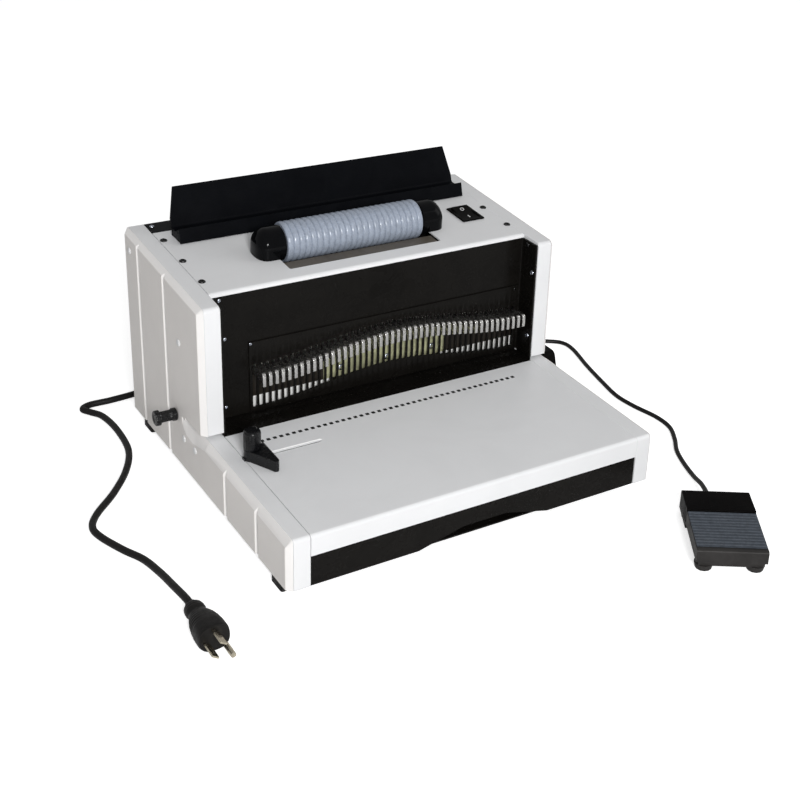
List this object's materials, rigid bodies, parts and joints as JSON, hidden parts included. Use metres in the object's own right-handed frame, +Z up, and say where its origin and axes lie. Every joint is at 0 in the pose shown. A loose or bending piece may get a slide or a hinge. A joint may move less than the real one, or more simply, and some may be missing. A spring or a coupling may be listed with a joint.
{
  "type": "coil binding machine",
  "caption": "Electric coil binding machine with a punch behind a slotted guard, a row of pull tabs, a ribbed inserter roller, a coil tray, a chip drawer and a corded foot pedal.",
  "frame": {"origin": "bottom centre of the bounding box of the machine and its pedal, on the surface that they stand on", "axes": "+Z up, +Y from the operator's side to the back, +X to the right"},
  "size_m": [0.6017, 0.5679, 0.25],
  "materials": {
    "white_paint": "satin powder coat",
    "side_paint": "satin, warm grey",
    "black_paint": "semi-gloss black",
    "black_plastic": "fine grain",
    "black_rubber": "matt",
    "roller_rubber": "matt, ribbed",
    "tread_rubber": "matt, ribbed",
    "steel": "ground",
    "chromed_steel": "bright nickel",
    "zinc": "yellow zinc plated",
    "dark_steel": "oiled",
    "trough_metal": "semi-gloss",
    "bronze": "plain bearing",
    "brass": "bright"
  },
  "bodies": {
    "machine": {"base_pan": "black_paint", "coil_tray": "black_paint", "foot_front_left": "black_rubber", "foot_front_right": "black_rubber", "foot_rear_left": "black_rubber", "foot_rear_right": "black_rubber", "front_panel": "black_paint", "front_plinth": "black_paint", "gear_motor": "dark_steel", "inserter_belt": "black_rubber", "inserter_motor": "dark_steel", "left_cam_bearing": "dark_steel", "left_roller_bush": "bronze", "left_roller_cap": "black_plastic", "left_side_cover": "side_paint", "left_side_frame": "white_paint", "lower_die": "steel", "mains_grommet": "black_rubber", "pedal_base": "black_paint", "pedal_cord": "black_rubber", "pedal_grommet": "black_rubber", "pedal_hood": "black_paint", "pedal_pin": "steel", "plug_blade_left": "brass", "plug_blade_right": "brass", "plug_body": "black_rubber", "plug_earth_pin": "brass", "power_cord": "black_rubber", "punch_belt": "black_rubber", "rear_cover": "black_paint", "right_cam_bearing": "dark_steel", "right_roller_bush": "bronze", "right_roller_cap": "black_plastic", "right_side_cover": "side_paint", "right_side_frame": "white_paint", "roller_trough": "trough_metal", "slot_guard": "black_paint", "switch_bezel": "black_plastic", "table_top": "white_paint", "top_cover": "white_paint", "upper_guide": "steel"},
    "punch_ram_body": {"punch_ram": "chromed_steel", "retainer_plate": "zinc"},
    "first_tab": {"pull_tab_first": "chromed_steel"},
    "last_tab": {"pull_tab_last": "chromed_steel"},
    "cam_shaft_body": {"cam_shaft": "steel", "left_punch_cam": "dark_steel", "right_punch_cam": "dark_steel"},
    "motor_pulley_body": {"motor_pulley": "dark_steel"},
    "inserter_roller": {"roller_sleeve": "roller_rubber", "roller_core": "dark_steel"},
    "inserter_pulley_body": {"inserter_pulley": "dark_steel"},
    "switch_rocker": {"power_rocker": "black_plastic"},
    "depth_knob_body": {"depth_knob": "black_plastic"},
    "edge_guide_body": {"edge_guide": "black_plastic"},
    "guide_knob_body": {"guide_knob": "black_plastic"},
    "drawer": {"chip_drawer": "black_plastic"},
    "pedal_treadle": {"treadle": "black_paint", "tread_mat": "tread_rubber"}
  },
  "joints": [
    {"name": "cam_turn", "type": "hinge", "parent": "machine", "child": "cam_shaft_body", "pos_m": [-0.0167, 0.11455, 0.142], "axis": [1, 0, 0], "range_deg": [0, 180]},
    {"name": "punch_stroke", "type": "slide", "parent": "machine", "child": "punch_ram_body", "axis": [0, 0, -1], "range_m": [0, 0.013]},
    {"name": "motor_spin", "type": "hinge", "parent": "machine", "child": "motor_pulley_body", "pos_m": [-0.0167, 0.18405, 0.062], "axis": [1, 0, 0], "range_deg": [0, 540]},
    {"name": "first_tab_pull", "type": "slide", "parent": "punch_ram_body", "child": "first_tab", "axis": [0, -1, 0], "range_m": [0, 0.006]},
    {"name": "last_tab_pull", "type": "slide", "parent": "punch_ram_body", "child": "last_tab", "axis": [0, -1, 0], "range_m": [0, 0.006]},
    {"name": "roller_spin", "type": "hinge", "parent": "machine", "child": "inserter_roller", "pos_m": [-0.0167, 0.14405, 0.2092], "axis": [1, 0, 0], "continuous": true},
    {"name": "inserter_pulley_spin", "type": "hinge", "parent": "machine", "child": "inserter_pulley_body", "pos_m": [0.0713, 0.14405, 0.148], "axis": [1, 0, 0], "continuous": true},
    {"name": "switch_rock", "type": "hinge", "parent": "machine", "child": "switch_rocker", "pos_m": [0.1213, 0.15106, 0.20032], "axis": [1, 0, 0], "range_deg": [-16, 0]},
    {"name": "depth_turn", "type": "hinge", "parent": "machine", "child": "depth_knob_body", "pos_m": [-0.2062, 0.12605, 0.0636], "axis": [1, 0, 0], "range_deg": [0, 270]},
    {"name": "guide_slide", "type": "slide", "parent": "machine", "child": "edge_guide_body", "axis": [1, 0, 0], "range_m": [0, 0.058]},
    {"name": "guide_knob_turn", "type": "hinge", "parent": "edge_guide_body", "child": "guide_knob_body", "pos_m": [-0.1787, 0.01656, 0.06495], "axis": [0, -0.0187, 0.9998], "range_deg": [0, 180]},
    {"name": "drawer_slide", "type": "slide", "parent": "machine", "child": "drawer", "axis": [1, 0, 0], "range_m": [0, 0.3]},
    {"name": "treadle_press", "type": "hinge", "parent": "machine", "child": "pedal_treadle", "pos_m": [0.18047, -0.20668, 0.0135], "axis": [0.848, -0.5299, 0], "range_deg": [0, 3.5], "stiffness_Nm_per_rad": 1, "springref_deg": -6.88}
  ],
  "couplings": [
    {"joint": "cam_turn", "follows": "punch_stroke", "rad_per_m": 241.66},
    {"joint": "motor_spin", "follows": "punch_stroke", "rad_per_m": 724.98},
    {"joint": "inserter_pulley_spin", "follows": "roller_spin", "ratio": 1}
  ]
}
